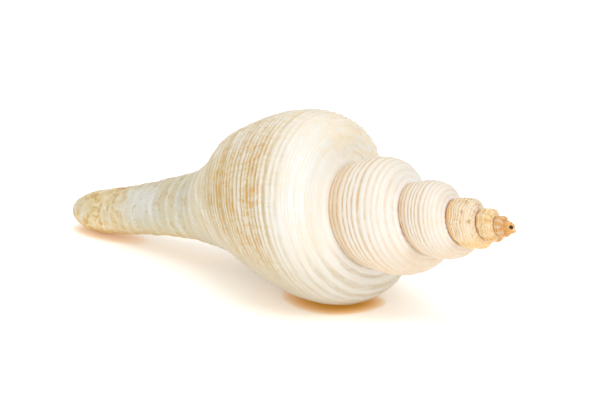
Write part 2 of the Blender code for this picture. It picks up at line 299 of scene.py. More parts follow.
    def wall(self, angle: float) -> float:
        """Thickness of the wall.

        Args:
            angle: The growth angle.

        Returns:
            The thickness, in mm.
        """
        thinning = smooth(angle, self.lip - self.lip_thinning, self.lip)
        full = self.wall_mm + (self.lip_wall - self.wall_mm) * thinning
        return full * self.size(angle) ** self.wall_growth


@dataclass
class Relief:
    """Cords, growth steps and knobs that stand on the smooth form, in mm."""

    coil: Coil
    cords: int = 12
    cords_lost: int = 5
    cords_lost_turns: tuple[float, float] = (-4.2, -2.9)
    tail_twist: float = 1.6
    twist_rows: tuple[float, float] = (1.7, 2.6)
    wander: tuple[float, float] = (0.12, 0.05)
    wander_waves: tuple[float, float] = (3.1, 7.3)
    base_cords: int = 9
    tail_cords: int = 15
    between_turns: tuple[float, float] = (-1.5, -0.5)
    between_rows: Marks = (0.28, 0.46, 1.25, 1.6)
    between_rows_at_rim: Marks = (0.04, 0.10, 0.5, 0.6)
    between_share: float = 0.75
    uneven: float = 0.16
    strong: float = 0.21
    grown_turns: tuple[float, float] = (-4.6, -2.4)
    young_turns: Marks = (-5.4, -4.6, -2.6, -2.0)
    young_share: float = 0.9
    calm_turns: tuple[float, float] = (-1.1, -0.8)
    calm_ends: tuple[float, float] = (0.1, 0.5)
    calm_share: float = 0.6
    flank_turns: Marks = (-0.75, -0.55, -0.35, -0.24)
    old_turns: tuple[float, float] = (-2.6, -2.2)
    old_share: float = 0.45
    shoulder_rows: tuple[float, float] = (0.34, 0.5)
    tail_rows: tuple[float, float] = (1.35, 1.8)
    tail_share: float = 0.62
    end_rows: tuple[float, float] = (2.72, 2.9)
    rim_angles: tuple[float, float] = (0.15, 0.55)
    rim_rows: Marks = (0.10, 0.22, 0.50, 0.64)
    rim_strength: float = 2.0
    growth_step: float = 0.09
    knobs: int = 10
    knob_share: float = 0.058
    knob_turns: Marks = (-5.9, -5.1, -4.0, -2.3)
    wave: float = 0.16
    waves: int = 28
    wave_ends: tuple[float, float] = (-1.4, -1.0)
    wear: float = 0.07
    wear_rows: Marks = (1.7, 2.1, 2.8, 2.95)
    rim_wave: float = 0.28
    settle: float = 0.07
    rise: float = 0.75
    rise_angles: Marks = (-0.2, 0.4, 0.9, 1.6)
    rise_rows: Marks = (0.06, 0.2, 0.26, 0.50)
    turn_in: tuple[float, float, float] = (1.0, 0.6, 2.5)
    corner_blend: float = 0.3
    floor_fullness: float = 0.45
    foot_heading: tuple[float, float] = (0.12, 0.30)

    def phase(self, angle: float, rows: np.ndarray) -> np.ndarray:
        """How many main cords lie between the upper seam and each row.

        Args:
            angle: The growth angle.
            rows: Row values.

        Returns:
            The count; a whole number lies in a groove. The cords aren't evenly wide.
        """
        on_tail = np.clip(rows - 2, 0, 1)
        base = self.cords + self.base_cords * np.clip(rows - 1, 0, 1)
        twist = self.tail_twist * (angle - self.coil.lip) / TURN * smooth(rows, *self.twist_rows)
        early = self.cords_lost * (1 - smooth(angle / TURN, *self.cords_lost_turns))
        count = np.where(rows <= 1, (self.cords - early) * rows, base + self.tail_cords * on_tail + twist)
        slow, fast = (TURN * waves * rows for waves in self.wander_waves)
        return count + self.wander[0] * np.sin(slow) + self.wander[1] * np.sin(fast + angle)

    def crest(self, angle: float, rows: np.ndarray) -> np.ndarray:
        """Height of the cords.

        Args:
            angle: The growth angle.
            rows: Row values.

        Returns:
            Heights from -1 in a groove to about 1 on a crest; cords differ in height.
        """
        count = self.phase(angle, rows)
        fresh = float(smooth(angle / TURN, *self.between_turns))
        rim = float(smooth(angle, *self.calm_ends))
        at_rim = rim * hump(rows, self.between_rows_at_rim)
        between = np.maximum(fresh * hump(rows, self.between_rows), at_rim)
        thin = self.between_share * between
        wave = -np.cos(TURN * count) * (1 - thin) - np.cos(2 * TURN * count) * thin
        share = 1 - self.uneven + self.uneven * np.sin(2.4 * np.floor(count) + 0.9)
        return (wave + 1) * share - 1

    def cord_height(self, angle: float, rows: np.ndarray, rim: np.ndarray) -> np.ndarray:
        """Height of the cords, which fade on shoulders, on the tail and at the seams.

        Args:
            angle: The growth angle.
            rows: Row values.
            rim: How far each row belongs to the rough rim of the last whorl.

        Returns:
            The height at each row, in mm.
        """
        turns = angle / TURN
        calm = smooth(turns, *self.calm_turns)
        old = self.old_share * (1 - calm) * smooth(turns, *self.old_turns)
        calm = calm * (1 - smooth(angle, *self.calm_ends)) * (1 - 0.1 * hump(turns, self.flank_turns))
        fade = smooth(rows, 0.0, 0.05) * (1 - self.tail_share * smooth(rows, *self.tail_rows))
        fade = fade * (1 - smooth(rows, *self.end_rows))
        fade = fade * (1 - (self.calm_share * calm + old) * (1 - smooth(rows, *self.shoulder_rows)))
        young = self.young_share * hump(turns, self.young_turns)
        strength = 0.45 + 0.55 * smooth(rows, 0.0, 0.25) + self.rim_strength * rim + young
        grown = 0.6 + 0.4 * smooth(turns, *self.grown_turns)
        return self.strong * strength * grown * fade * self.coil.size(angle) * self.crest(angle, rows)

    def growth_height(self, angle: float, rows: np.ndarray, rim: np.ndarray) -> np.ndarray:
        """Height of the growth steps across the cords, and of the rim's coarse waves.

        Args:
            angle: The growth angle.
            rows: Row values.
            rim: How far each row belongs to the rough rim of the last whorl.

        Returns:
            The height at each row, in mm.
        """
        steps = np.sin(23 * angle + 1.1 * np.sin(7.0 * angle)) + 0.7 * np.sin(41 * angle + 2.3 * rows)
        fade = smooth(rows, 0.0, 0.08) * (1 - smooth(rows, *self.tail_rows))
        steps = self.growth_step * self.coil.size(angle) * steps * 0.5 * fade
        return steps + self.rim_wave * rim * np.sin(44 * angle + 9 * rows)

    def height(self, angle: float, rows: np.ndarray) -> np.ndarray:
        """Height above the smooth form.

        Args:
            angle: The growth angle.
            rows: Row values.

        Returns:
            The height at each row, in mm.
        """
        rim = smooth(angle, *self.rim_angles) * hump(rows, self.rim_rows)
        span = np.linalg.norm(self.coil.seam(angle + TURN) - self.coil.seam(angle))
        knob = self.knob_share * span * hump(angle / TURN, self.knob_turns) * math.cos(self.knobs * angle)
        ribs = knob * np.sin(math.pi * np.clip(rows, 0, 1)) ** 0.8
        rise = self.rise * hump(angle, self.rise_angles) * hump(rows, self.rise_rows)
        settled = self.settle * self.coil.size(angle) * smooth(rows, 0.0, 0.1)
        worn = self.wear * (np.sin(3 * angle + 31 * rows) + np.sin(5 * angle - 47 * rows + 2.0))
        worn = worn * hump(rows, self.wear_rows)
        fine = self.cord_height(angle, rows, rim) + self.growth_height(angle, rows, rim)
        return fine + ribs + rise + worn - settled + self.scallop(angle, rows)

    def scallop(self, angle: float, rows: np.ndarray) -> np.ndarray:
        """Small waves of the seam on the spire, the same from both of its sides.

        Args:
            angle: The growth angle.
            rows: Row values.

        Returns:
            The extra height at each row, in mm.
        """
        size, behind = self.coil.size(angle), self.coil.size(angle + TURN)
        early, late = (1 - smooth(a / TURN, *self.wave_ends) for a in (angle, angle + TURN))
        upper = size * early * (1 - smooth(rows, 0.0, 0.07))
        lower = behind * late * smooth(rows, 0.9, 1.0)
        return self.wave * math.cos(self.waves * angle) * (upper + lower)

    def outer_column(self, angle: float, rows: np.ndarray) -> np.ndarray:
        """One column of the outer surface.

        Args:
            angle: The growth angle.
            rows: Row values.

        Returns:
            One point in space for each row, in mm.
        """
        rows = np.asarray(rows, float)
        height = self.height(angle, rows)[:, None]
        points = self.coil.outline(angle, rows) + self.coil.outward(angle, rows) * height
        squeeze = np.clip((angle - self.coil.lip) / math.pi + 1, -1, 1)
        return self.coil.place(angle - squeeze * self.coil.opening(rows), points)

    def channel_column(self, step: float, rows: np.ndarray) -> np.ndarray:
        """One column of the round wall of the tail's channel.

        Args:
            step: Place around the channel, from 0 at the lip to 2 at the pillar.
            rows: Row values.

        Returns:
            One point in space for each row, in mm.
        """
        rows = np.asarray(rows, float)
        wide, narrow = self.coil.channel
        size = wide + (narrow - wide) * np.clip(rows - 2, 0, 1)
        points = self.coil.outline(self.coil.lip, rows)
        radial = points[:, 1] - self.coil.channel_depth * size / wide + size * math.cos(math.pi * step)
        sideways = size * math.sin(math.pi * step)
        angles = self.coil.lip - np.arctan2(sideways, radial)
        return self.coil.place(angles, np.stack((points[:, 0], np.hypot(radial, sideways)), 1))

    def inner_column(self, angle: float, rows: np.ndarray) -> np.ndarray:
        """One column inside the outer wall: from the corner at the seam, over the floor, to the foot.

        Args:
            angle: The growth angle.
            rows: Row values, from 0 to 2.

        Returns:
            One point in space for each row, in mm.
        """
        coil = self.coil
        rows = np.asarray(rows, float)
        at_lip, later, within = self.turn_in
        turn_in = at_lip + later * float(1 - smooth(coil.lip - angle, 0.0, within))
        followed = np.minimum(rows, turn_in)
        points = coil.outline(angle, followed) - coil.outward(angle, followed) * coil.wall(angle)
        corner = coil.outline(angle - TURN, [coil.corner])[0]
        points += (corner - points[0]) * (1 - smooth(rows, 0.0, self.corner_blend))[:, None]
        ends = np.array([turn_in - 0.02, turn_in])
        pair = coil.outline(angle, ends) - coil.outward(angle, ends) * coil.wall(angle)
        goal = coil.foot(angle)
        reach = np.linalg.norm(goal - pair[1])
        floor = (pair[1], pair[1] + unit(pair[1] - pair[0]) * reach * self.floor_fullness,
                 goal + np.array(self.foot_heading) * reach, goal)
        low = rows > turn_in
        points[low] = evenly(floor, (rows[low] - turn_in) / (2 - turn_in))
        return coil.place(np.full(len(rows), angle), points)

    def pillar_column(self, angle: float, rows: np.ndarray) -> np.ndarray:
        """Inner wall of the hollow: the whorl before, and the pillar under it."""
        return self.coil.place(np.full(len(rows), angle), self.coil.outline(angle, rows))


class Side(Enum):
    """Which part of the wall a point lies on."""

    OUTER = "outer"
    INNER = "inner"
    PILLAR = "pillar"


@dataclass
class Corner:
    """One corner of a face: its vertex, and where on the coil it lies."""

    vertex: int
    turns: float
    row: float
    crest: float
    inside: float


@dataclass(frozen=True)
class InsideRows:
    """Row values inside the shell: of the outer wall, the pillar and the tail's channel."""

    below: list[float]
    wall: list[float]
    pillar: list[float]
    tail: list[float]

    @property
    def mouth(self) -> list[float]:
        """Rows along the lip: the wall's down to the seam, then those of the outer surface."""
        return [row for row in self.wall if row < 1] + [1.0] + self.below[1:]


@dataclass
class ConchShell:
    """The whole shell as one closed mesh."""

    coil: Coil = field(default_factory=Coil)
    columns: int = 168
    whorls: float = 5.9
    hollow_turns: float = 2.1
    whorl_rows: tuple[int, ...] = (120, 96, 72, 56, 42, 28)
    base_rows: int = 78
    tail_rows: int = 42
    round_rows: int = 10
    channel_columns: int = 16
    channel_stride: int = 2
    channel_rows: tuple[float, float] = (1.5, 2.0)
    hollow_stride: int = 4
    wall_spans: tuple[tuple[float, float, int], ...] = ((0.0, 0.3, 6), (0.3, 1.0, 9), (1.0, 2.0, 16))
    pillar_span: tuple[float, float, int] = (1.1, 2.0, 14)
    dome_rings: int = 8
    tip_reach: float = 0.3
    pit_angle: float = -60.0
    pit_reach: float = 0.7
    pit_out: float = 0.85
    pit_radius: float = 0.66
    pit_flat: float = 0.35
    pit_depth: float = 0.6
    pit_toward: float = 4.0
    sharp_edge: float = math.radians(55)

    def __post_init__(self) -> None:
        """Starts with no points and no faces."""
        self.relief = Relief(self.coil)
        self.points: list[np.ndarray] = []
        self.store: dict[tuple[Side, int, float], int] = {}
        self.faces: list[list[Corner]] = []

    def angle(self, column: float) -> float:
        """Growth angle of a column; column 0 is the lip, and earlier ones are negative."""
        return self.coil.lip + column * TURN / self.columns

    def rows_of(self, column: int) -> list[float]:
        """Row values of the outer surface between the two seams at a column."""
        whorl = min(max((-column - 1) // self.columns, 0), len(self.whorl_rows) - 1)
        return even_rows(0, 1, self.whorl_rows[whorl])

    def add(self, side: Side, column: int, rows: list[float], points: np.ndarray) -> None:
        """Stores the points of a column that aren't there yet.

        Args:
            side: Which part of the wall it is.
            column: The column.
            rows: Row values.
            points: One point for each row, in mm.
        """
        for row, point in zip(rows, points):
            if (side, column, row) not in self.store:
                self.store[side, column, row] = len(self.points)
                self.points.append(point)

    def line(self, side: Side, column: int, rows: list[float]) -> list[Corner]:
        """Corners along one column of one side.

        Args:
            side: Which part of the wall it is.
            column: The column.
            rows: Row values, all of them stored before.

        Returns:
            One corner for each row.
        """
        angle = self.angle(column)
        crest = self.relief.crest(angle, np.asarray(rows)) if side is Side.OUTER else np.zeros(len(rows))
        inside = 0.0 if side is Side.OUTER else 1.0
        return [Corner(self.store[side, column, row], angle / TURN, row, high, inside)
                for row, high in zip(rows, crest)]

    def fill(self, left: list[Corner], right: list[Corner]) -> None:
        """Faces between two columns, which may differ in number of rows.

        Args:
            left: Corners along the first column.
            right: Corners along the second one.
        """
        i = j = 0
        while i < len(left) - 1 or j < len(right) - 1:
            row_left = left[i + 1].row if i < len(left) - 1 else math.inf
            row_right = right[j + 1].row if j < len(right) - 1 else math.inf
            corners = [left[i]]
            if row_left <= row_right:
                i += 1
                corners.append(left[i])
            corners.append(right[j])
            if row_right <= row_left:
                j += 1
                corners.insert(-1, right[j])
            self.face(corners)

    def face(self, corners: list[Corner]) -> None:
        """One face, where it has an area; corners on the same vertex are merged.

        Args:
            corners: Its corners in order.
        """
        kept = list({corner.vertex: corner for corner in reversed(corners)}.values())[::-1]
        if len(kept) > 2:
            self.faces.append(kept)

    def build_outside(self) -> list[float]:
        """Outer surface: the last whorl down to the tail's end, and the spire.

        Returns:
            Row values below the lower seam.
        """
        coil, outer = self.coil, Side.OUTER
        first = -int(self.whorls * self.columns)
        round_row = 3 - coil.round_length / (coil.tail_end - coil.neck[0])
        below = [coil.corner] + [row for row in even_rows(1, 2, self.base_rows)[1:] if row > coil.corner]
        below += even_rows(2, round_row, self.tail_rows)[1:]
        below += [round_row + (3 - round_row) * (1 - (1 - i / self.round_rows) ** 2)
                  for i in range(1, self.round_rows + 1)]
        for column in range(0, first - 1, -1):
            rows = self.rows_of(column)
            if column >= -self.columns:
                rows = rows + below
            if column <= -self.columns:
                self.store[outer, column, 1.0] = self.store[outer, column + self.columns, 0.0]
            self.add(outer, column, rows, self.relief.outer_column(self.angle(column), np.asarray(rows)))
        for column in range(0, first, -1):
            self.fill(self.line(outer, column, self.rows_of(column)),
                      self.line(outer, column - 1, self.rows_of(column - 1)))
            if column > -self.columns:
                rows = [1.0] + below
                self.fill(self.line(outer, column, rows), self.line(outer, column - 1, rows))
        self.close_apex(first)
        return below

    def close_apex(self, first: int) -> None:
        """The tip: the step where the coil starts, and the cap inside the first turn.

        Args:
            first: The oldest column.
        """
        self.faces.append(self.line(Side.OUTER, first, self.rows_of(first)))
        rim = [self.line(Side.OUTER, column, [0.0])[0] for column in range(first, first + self.columns + 1)]
        tip = self.coil.place(np.zeros(1), np.array(((self.tip_reach, 0.0),)))[0]
        edge = np.array([self.points[corner.vertex] for corner in rim])
        turns = self.angle(first) / TURN
        for ring in range(1, self.dome_rings):
            turned = ring / self.dome_rings * math.pi / 2
            centre = edge.mean(axis=0)
            points = centre + (edge - centre) * math.cos(turned) + (tip - centre) * math.sin(turned)
            start = len(self.points)
            self.points.extend(points)
            inner = [Corner(start + i, turns, 0.0, 0.0, 0.0) for i in range(len(points))]
            for i in range(len(rim)):
                after = (i + 1) % len(rim)
                self.face([rim[i], rim[after], inner[after], inner[i]])
            rim = inner
        middle = Corner(len(self.points), turns, 0.0, 0.0, 0.0)
        self.points.append(tip)
        for one, other in zip(rim, rim[1:] + rim[:1]):
            self.face([one, other, middle])

    def build_inside(self, below: list[float]) -> None:
        """The hollow from the lip to its end, the channel in the tail, and the lip's edge.

        Args:
            below: Row values below the lower seam.
        """
        last, near = -int(self.hollow_turns * self.columns), self.channel_columns
        rows = InsideRows(
            below=below,
            wall=[0.0] + [row for span in self.wall_spans for row in even_rows(*span)[1:]],
            pillar=[self.coil.corner] + even_rows(*self.pillar_span),
            tail=[row for row in below if row >= 2])
        columns = list(range(0, -near - 1, -self.channel_stride))
        columns += list(range(-near - self.hollow_stride, last, -self.hollow_stride)) + [last]
        for column in columns:
            self.add_pillar(column, rows)
            self.add_wall(column, rows)
        for column, after in zip(columns, columns[1:]):
            self.join_inside(column, after, rows)
        self.close_hollow(last, rows)
        self.close_lip(rows)

    def into_channel(self, step: float, rows: list[float], points: np.ndarray) -> np.ndarray:
        """Leads a column of the hollow over into the channel's wall.

        Args:
            step: Place around the channel.
            rows: Row values.
            points: The column's points, in mm.

        Returns:
            The led points.
        """
        share = smooth(rows, *self.channel_rows)[:, None]
        return points * (1 - share) + self.relief.channel_column(step, rows) * share

    def add_pillar(self, column: int, rows: InsideRows) -> None:
        """Points of the hollow's inner wall, one turn behind a column of its outer wall.

        Args:
            column: The column of the outer wall.
            rows: Row values inside the shell.
        """
        behind, near = column - self.columns, self.channel_columns
        if column == 0:
            for row in [self.coil.corner] + rows.below:
                self.store[Side.PILLAR, behind, row] = self.store[Side.OUTER, behind, row]
            return
        points = self.relief.pillar_column(self.angle(column) - TURN, rows.pillar)
        if column < -near:
            self.add(Side.PILLAR, behind, rows.pillar, points)
            return
        step = 2 + column / near
        self.add(Side.PILLAR, behind, rows.pillar, self.into_channel(step, rows.pillar, points))
        self.add(Side.PILLAR, behind, rows.tail, self.relief.channel_column(step, rows.tail))

    def add_wall(self, column: int, rows: InsideRows) -> None:
        """Points on the inside of the outer wall.

        Args:
            column: The column.
            rows: Row values inside the shell.
        """
        coil, inner, near = self.coil, Side.INNER, self.channel_columns
        angle, behind = self.angle(column), column - self.columns
        self.store[inner, column, 0.0] = self.store[Side.PILLAR, behind, coil.corner]
        met = [] if column > -near else rows.tail if column == -near else [2.0]
        for row in met:
            self.store[inner, column, row] = self.store[Side.PILLAR, behind, row]
        points = self.relief.inner_column(angle, rows.wall)
        if column == 0:
            base = [1.0] + rows.below[1:]
            self.add(inner, column, [row for row in rows.wall if row < 1], points)
            edge = coil.outline(angle, base) - coil.outward(angle, base) * coil.lip_wall
            self.add(inner, column, base, coil.place(angle - coil.opening(np.asarray(base)), edge))
        elif column < -near:
            self.add(inner, column, rows.wall, points)
        else:
            step = -column / near
            self.add(inner, column, rows.wall, self.into_channel(step, rows.wall, points))
            self.add(inner, column, rows.tail, self.relief.channel_column(step, rows.tail))

    def join_inside(self, column: int, after: int, rows: InsideRows) -> None:
        """Faces of the hollow and the channel between two columns.

        Args:
            column: The column nearer to the lip.
            after: The next one inwards.
            rows: Row values inside the shell.
        """
        inner, pillar, shift = Side.INNER, Side.PILLAR, -self.columns
        first = [row for row in rows.mouth if row <= 2] if column == 0 else rows.wall
        self.fill(self.line(inner, column, first), self.line(inner, after, rows.wall))
        first = [row for row in rows.below if row <= 2] if column == 0 else rows.pillar
        self.fill(self.line(pillar, column + shift, first), self.line(pillar, after + shift, rows.pillar))
        if column > -self.channel_columns:
            self.fill(self.line(inner, column, rows.tail), self.line(inner, after, rows.tail))
            self.fill(self.line(pillar, column + shift, rows.tail),
                      self.line(pillar, after + shift, rows.tail))

    def close_hollow(self, last: int, rows: InsideRows) -> None:
        """The end of the hollow, deep inside.

        Args:
            last: The column where it ends.
            rows: Row values inside the shell.
        """
        loop = self.line(Side.INNER, last, rows.wall)
        loop += self.line(Side.PILLAR, last - self.columns, rows.pillar[-2:0:-1])
        middle = len(self.points)
        self.points.append(np.mean([self.points[corner.vertex] for corner in loop], axis=0))
        centre = Corner(middle, loop[0].turns, 1.0, 0.0, 1.0)
        for one, other in zip(loop, loop[1:] + loop[:1]):
            self.face([one, other, centre])

    def close_lip(self, rows: InsideRows) -> None:
        """The lip's edge, and the flat end of the tail around the channel.

        Args:
            rows: Row values inside the shell.
        """
        outer, inner, pillar = Side.OUTER, Side.INNER, Side.PILLAR
        near, stride = self.channel_columns, self.channel_stride
        self.fill(self.line(outer, 0, self.rows_of(0) + rows.below), self.line(inner, 0, rows.mouth))
        around = [(outer, column) for column in range(-self.columns, 1)]
        around += [(inner, column) for column in range(0, -near - 1, -stride)]
        around += [(pillar, column - self.columns) for column in range(stride - near, 0, stride)]
        self.face([self.line(side, column, [3.0])[0] for side, column in around])

    def worn_tip(self, points: np.ndarray) -> tuple[np.ndarray, np.ndarray]:
        """Sinks the small worn hole beside the apex.

        Args:
            points: The points, in mm.

        Returns:
            The moved points, and how deep in the hole each one is, from 0 to 1.
        """
        around = np.array((math.radians(self.pit_angle),))
        side = self.coil.place(around, np.array(((self.pit_reach, self.pit_out),)))[0]
        away = np.linalg.norm(points - side, axis=1)
        depth = 1 - smooth(away, self.pit_flat * self.pit_radius, self.pit_radius)
        inward = self.coil.place(np.zeros(1), np.array(((self.pit_toward, 0.0),)))[0] - side
        return points + unit(inward) * self.pit_depth * depth[:, None], depth

    def build(self) -> bpy.types.Object:
        """Makes the mesh with its coil coordinates.

        Returns:
            The shell's object.
        """
        below = self.build_outside()
        self.build_inside(below)
        points, pit = self.worn_tip(np.array(self.points))
        points *= MM
        data = bpy.data.meshes.new("shell_skin")
        data.from_pydata(points.tolist(), [], [[corner.vertex for corner in face] for face in self.faces])
        corners = [corner for face in self.faces for corner in face]
        layer = data.uv_layers.new(name="coil")
        layer.data.foreach_set("uv", [value for corner in corners for value in (corner.turns, corner.row)])
        for name in ("crest", "inside"):
            values = data.attributes.new(name, "FLOAT", "CORNER")
            values.data.foreach_set("value", [getattr(corner, name) for corner in corners])
        values = data.attributes.new("pit", "FLOAT", "POINT")
        values.data.foreach_set("value", pit)
        mesh = bmesh.new()
        mesh.from_mesh(data)
        bmesh.ops.recalc_face_normals(mesh, faces=mesh.faces[:])
        if mesh.calc_volume(signed=True) < 0:
            bmesh.ops.reverse_faces(mesh, faces=mesh.faces[:])
        bmesh.ops.triangulate(mesh, faces=[face for face in mesh.faces if len(face.verts) > 4])
        open_edges = sum(not edge.is_manifold for edge in mesh.edges)
        mesh.to_mesh(data)
        mesh.free()
        data.shade_smooth()
        data.set_sharp_from_angle(angle=self.sharp_edge)
        shell = bpy.data.objects.new("shell_skin", data)
        bpy.context.scene.collection.objects.link(shell)
        data.calc_loop_triangles()
        LOG.info("shell: %d triangles, %d open edges", len(data.loop_triangles), open_edges)
        return shell


class NodeBook:
    """Writes shader nodes for one material."""

    def __init__(self, name: str) -> None:
        """Starts a material with an empty Principled shader.

        Args:
            name: The material's name.
        """
        self.material = bpy.data.materials.new(name)
        self.material.use_nodes = True
        self.tree = self.material.node_tree
        self.shader = self.tree.nodes["Principled BSDF"]

    def feed(self, socket: Socket, value: Socket | float | Colour) -> None:
        """Links a socket, or sets it to a plain value.

        Args:
            socket: The input.
            value: An output to link, a number or a colour.
        """
        if isinstance(value, bpy.types.NodeSocket):
            self.tree.links.new(value, socket)
        elif isinstance(value, tuple) and len(value) == 3 and socket.type == "RGBA":
            socket.default_value = (*value, 1.0)
        else:
            socket.default_value = value

    def math(self, operation: str, one: Socket | float, two: Socket | float = 0.0) -> Socket:
        """A Math node of two values.

        Args:
            operation: What it does.
            one: The first value.
            two: The second value.

        Returns:
            The result.
        """
        node = self.tree.nodes.new("ShaderNodeMath")
        node.operation = operation
        self.feed(node.inputs[0], one)
        self.feed(node.inputs[1], two)
        return node.outputs[0]

    def product(self, *values: Socket | float) -> Socket:
        """All the values multiplied together.

        Args:
            values: Two values or more.

        Returns:
            The product.
        """
        result = values[0]
        for value in values[1:]:
            result = self.math("MULTIPLY", result, value)
        return result

    def step(self, value: Socket, low: float, high: float, start: float = 0.0,
             end: float = 1.0) -> Socket:
        """A soft step of a value.

        Args:
            value: What is read.
            low: Where the step starts.
            high: Where it ends.
            start: Result at low and before.
            end: Result at high and after.

        Returns:
            The step's value.
        """
        node = self.tree.nodes.new("ShaderNodeMapRange")
        node.interpolation_type = "SMOOTHSTEP"
        self.feed(node.inputs["Value"], value)
        for name, number in (("From Min", low), ("From Max", high), ("To Min", start), ("To Max", end)):
            node.inputs[name].default_value = number
        return node.outputs[0]

    def hump(self, value: Socket, marks: Marks) -> Socket:
        """Rises from 0 to 1 between the first two marks, and falls back between the last two."""
        fall = self.step(value, marks[2], marks[3], 1.0, 0.0)
        return self.product(self.step(value, marks[0], marks[1]), fall)

    def mix(self, share: Socket | float, one: Socket | Colour, two: Socket | Colour) -> Socket:
        """A mix of two colours.

        Args:
            share: How much of the second one there is, from 0 to 1.
            one: The first colour.
            two: The second colour.

        Returns:
            The mixed colour.
        """
        node = self.tree.nodes.new("ShaderNodeMix")
        node.data_type = "RGBA"
        self.feed(node.inputs[0], share)
        self.feed(node.inputs[6], one)
        self.feed(node.inputs[7], two)
        return node.outputs[2]

    def noise(self, place: Socket, scale: float, detail: float = 3.0, rough: float = 0.55,
              bend: float = 0.0) -> Socket:
        """Noise at a place.

        Args:
            place: Where it is read.
            scale: How small its grains are.
            detail: How many finer layers it has.
            rough: How strong they are.
            bend: How much it is distorted.

        Returns:
            Values from 0 to 1.
        """
        node = self.tree.nodes.new("ShaderNodeTexNoise")
        self.feed(node.inputs["Vector"], place)
        for name, number in (("Scale", scale), ("Detail", detail), ("Roughness", rough),
                             ("Distortion", bend)):
            node.inputs[name].default_value = number
        return node.outputs[0]

    def attribute(self, name: str) -> Socket:
        """A value that the mesh carries.

        Args:
            name: The attribute's name.

        Returns:
            The value.
        """
        node = self.tree.nodes.new("ShaderNodeAttribute")
        node.attribute_name = name
        return node.outputs["Fac"]

    def spread(self, turns: Socket, row: Socket, along: float, across: float) -> Socket:
        """Coil coordinates, stretched along the coil and across it.

        Args:
            turns: Turns along the coil.
            row: The row value.
            along: Factor on the turns.
            across: Factor on the row.

        Returns:
            The stretched place.
        """
        node = self.tree.nodes.new("ShaderNodeCombineXYZ")
        self.feed(node.inputs[0], self.math("MULTIPLY", turns, along))
        self.feed(node.inputs[1], self.math("MULTIPLY", row, across))
        return node.outputs[0]


@dataclass
class Coordinates:
    """Shader values that say where a point of the shell lies."""

    turns: Socket
    row: Socket
    place: Socket
    crest: Socket


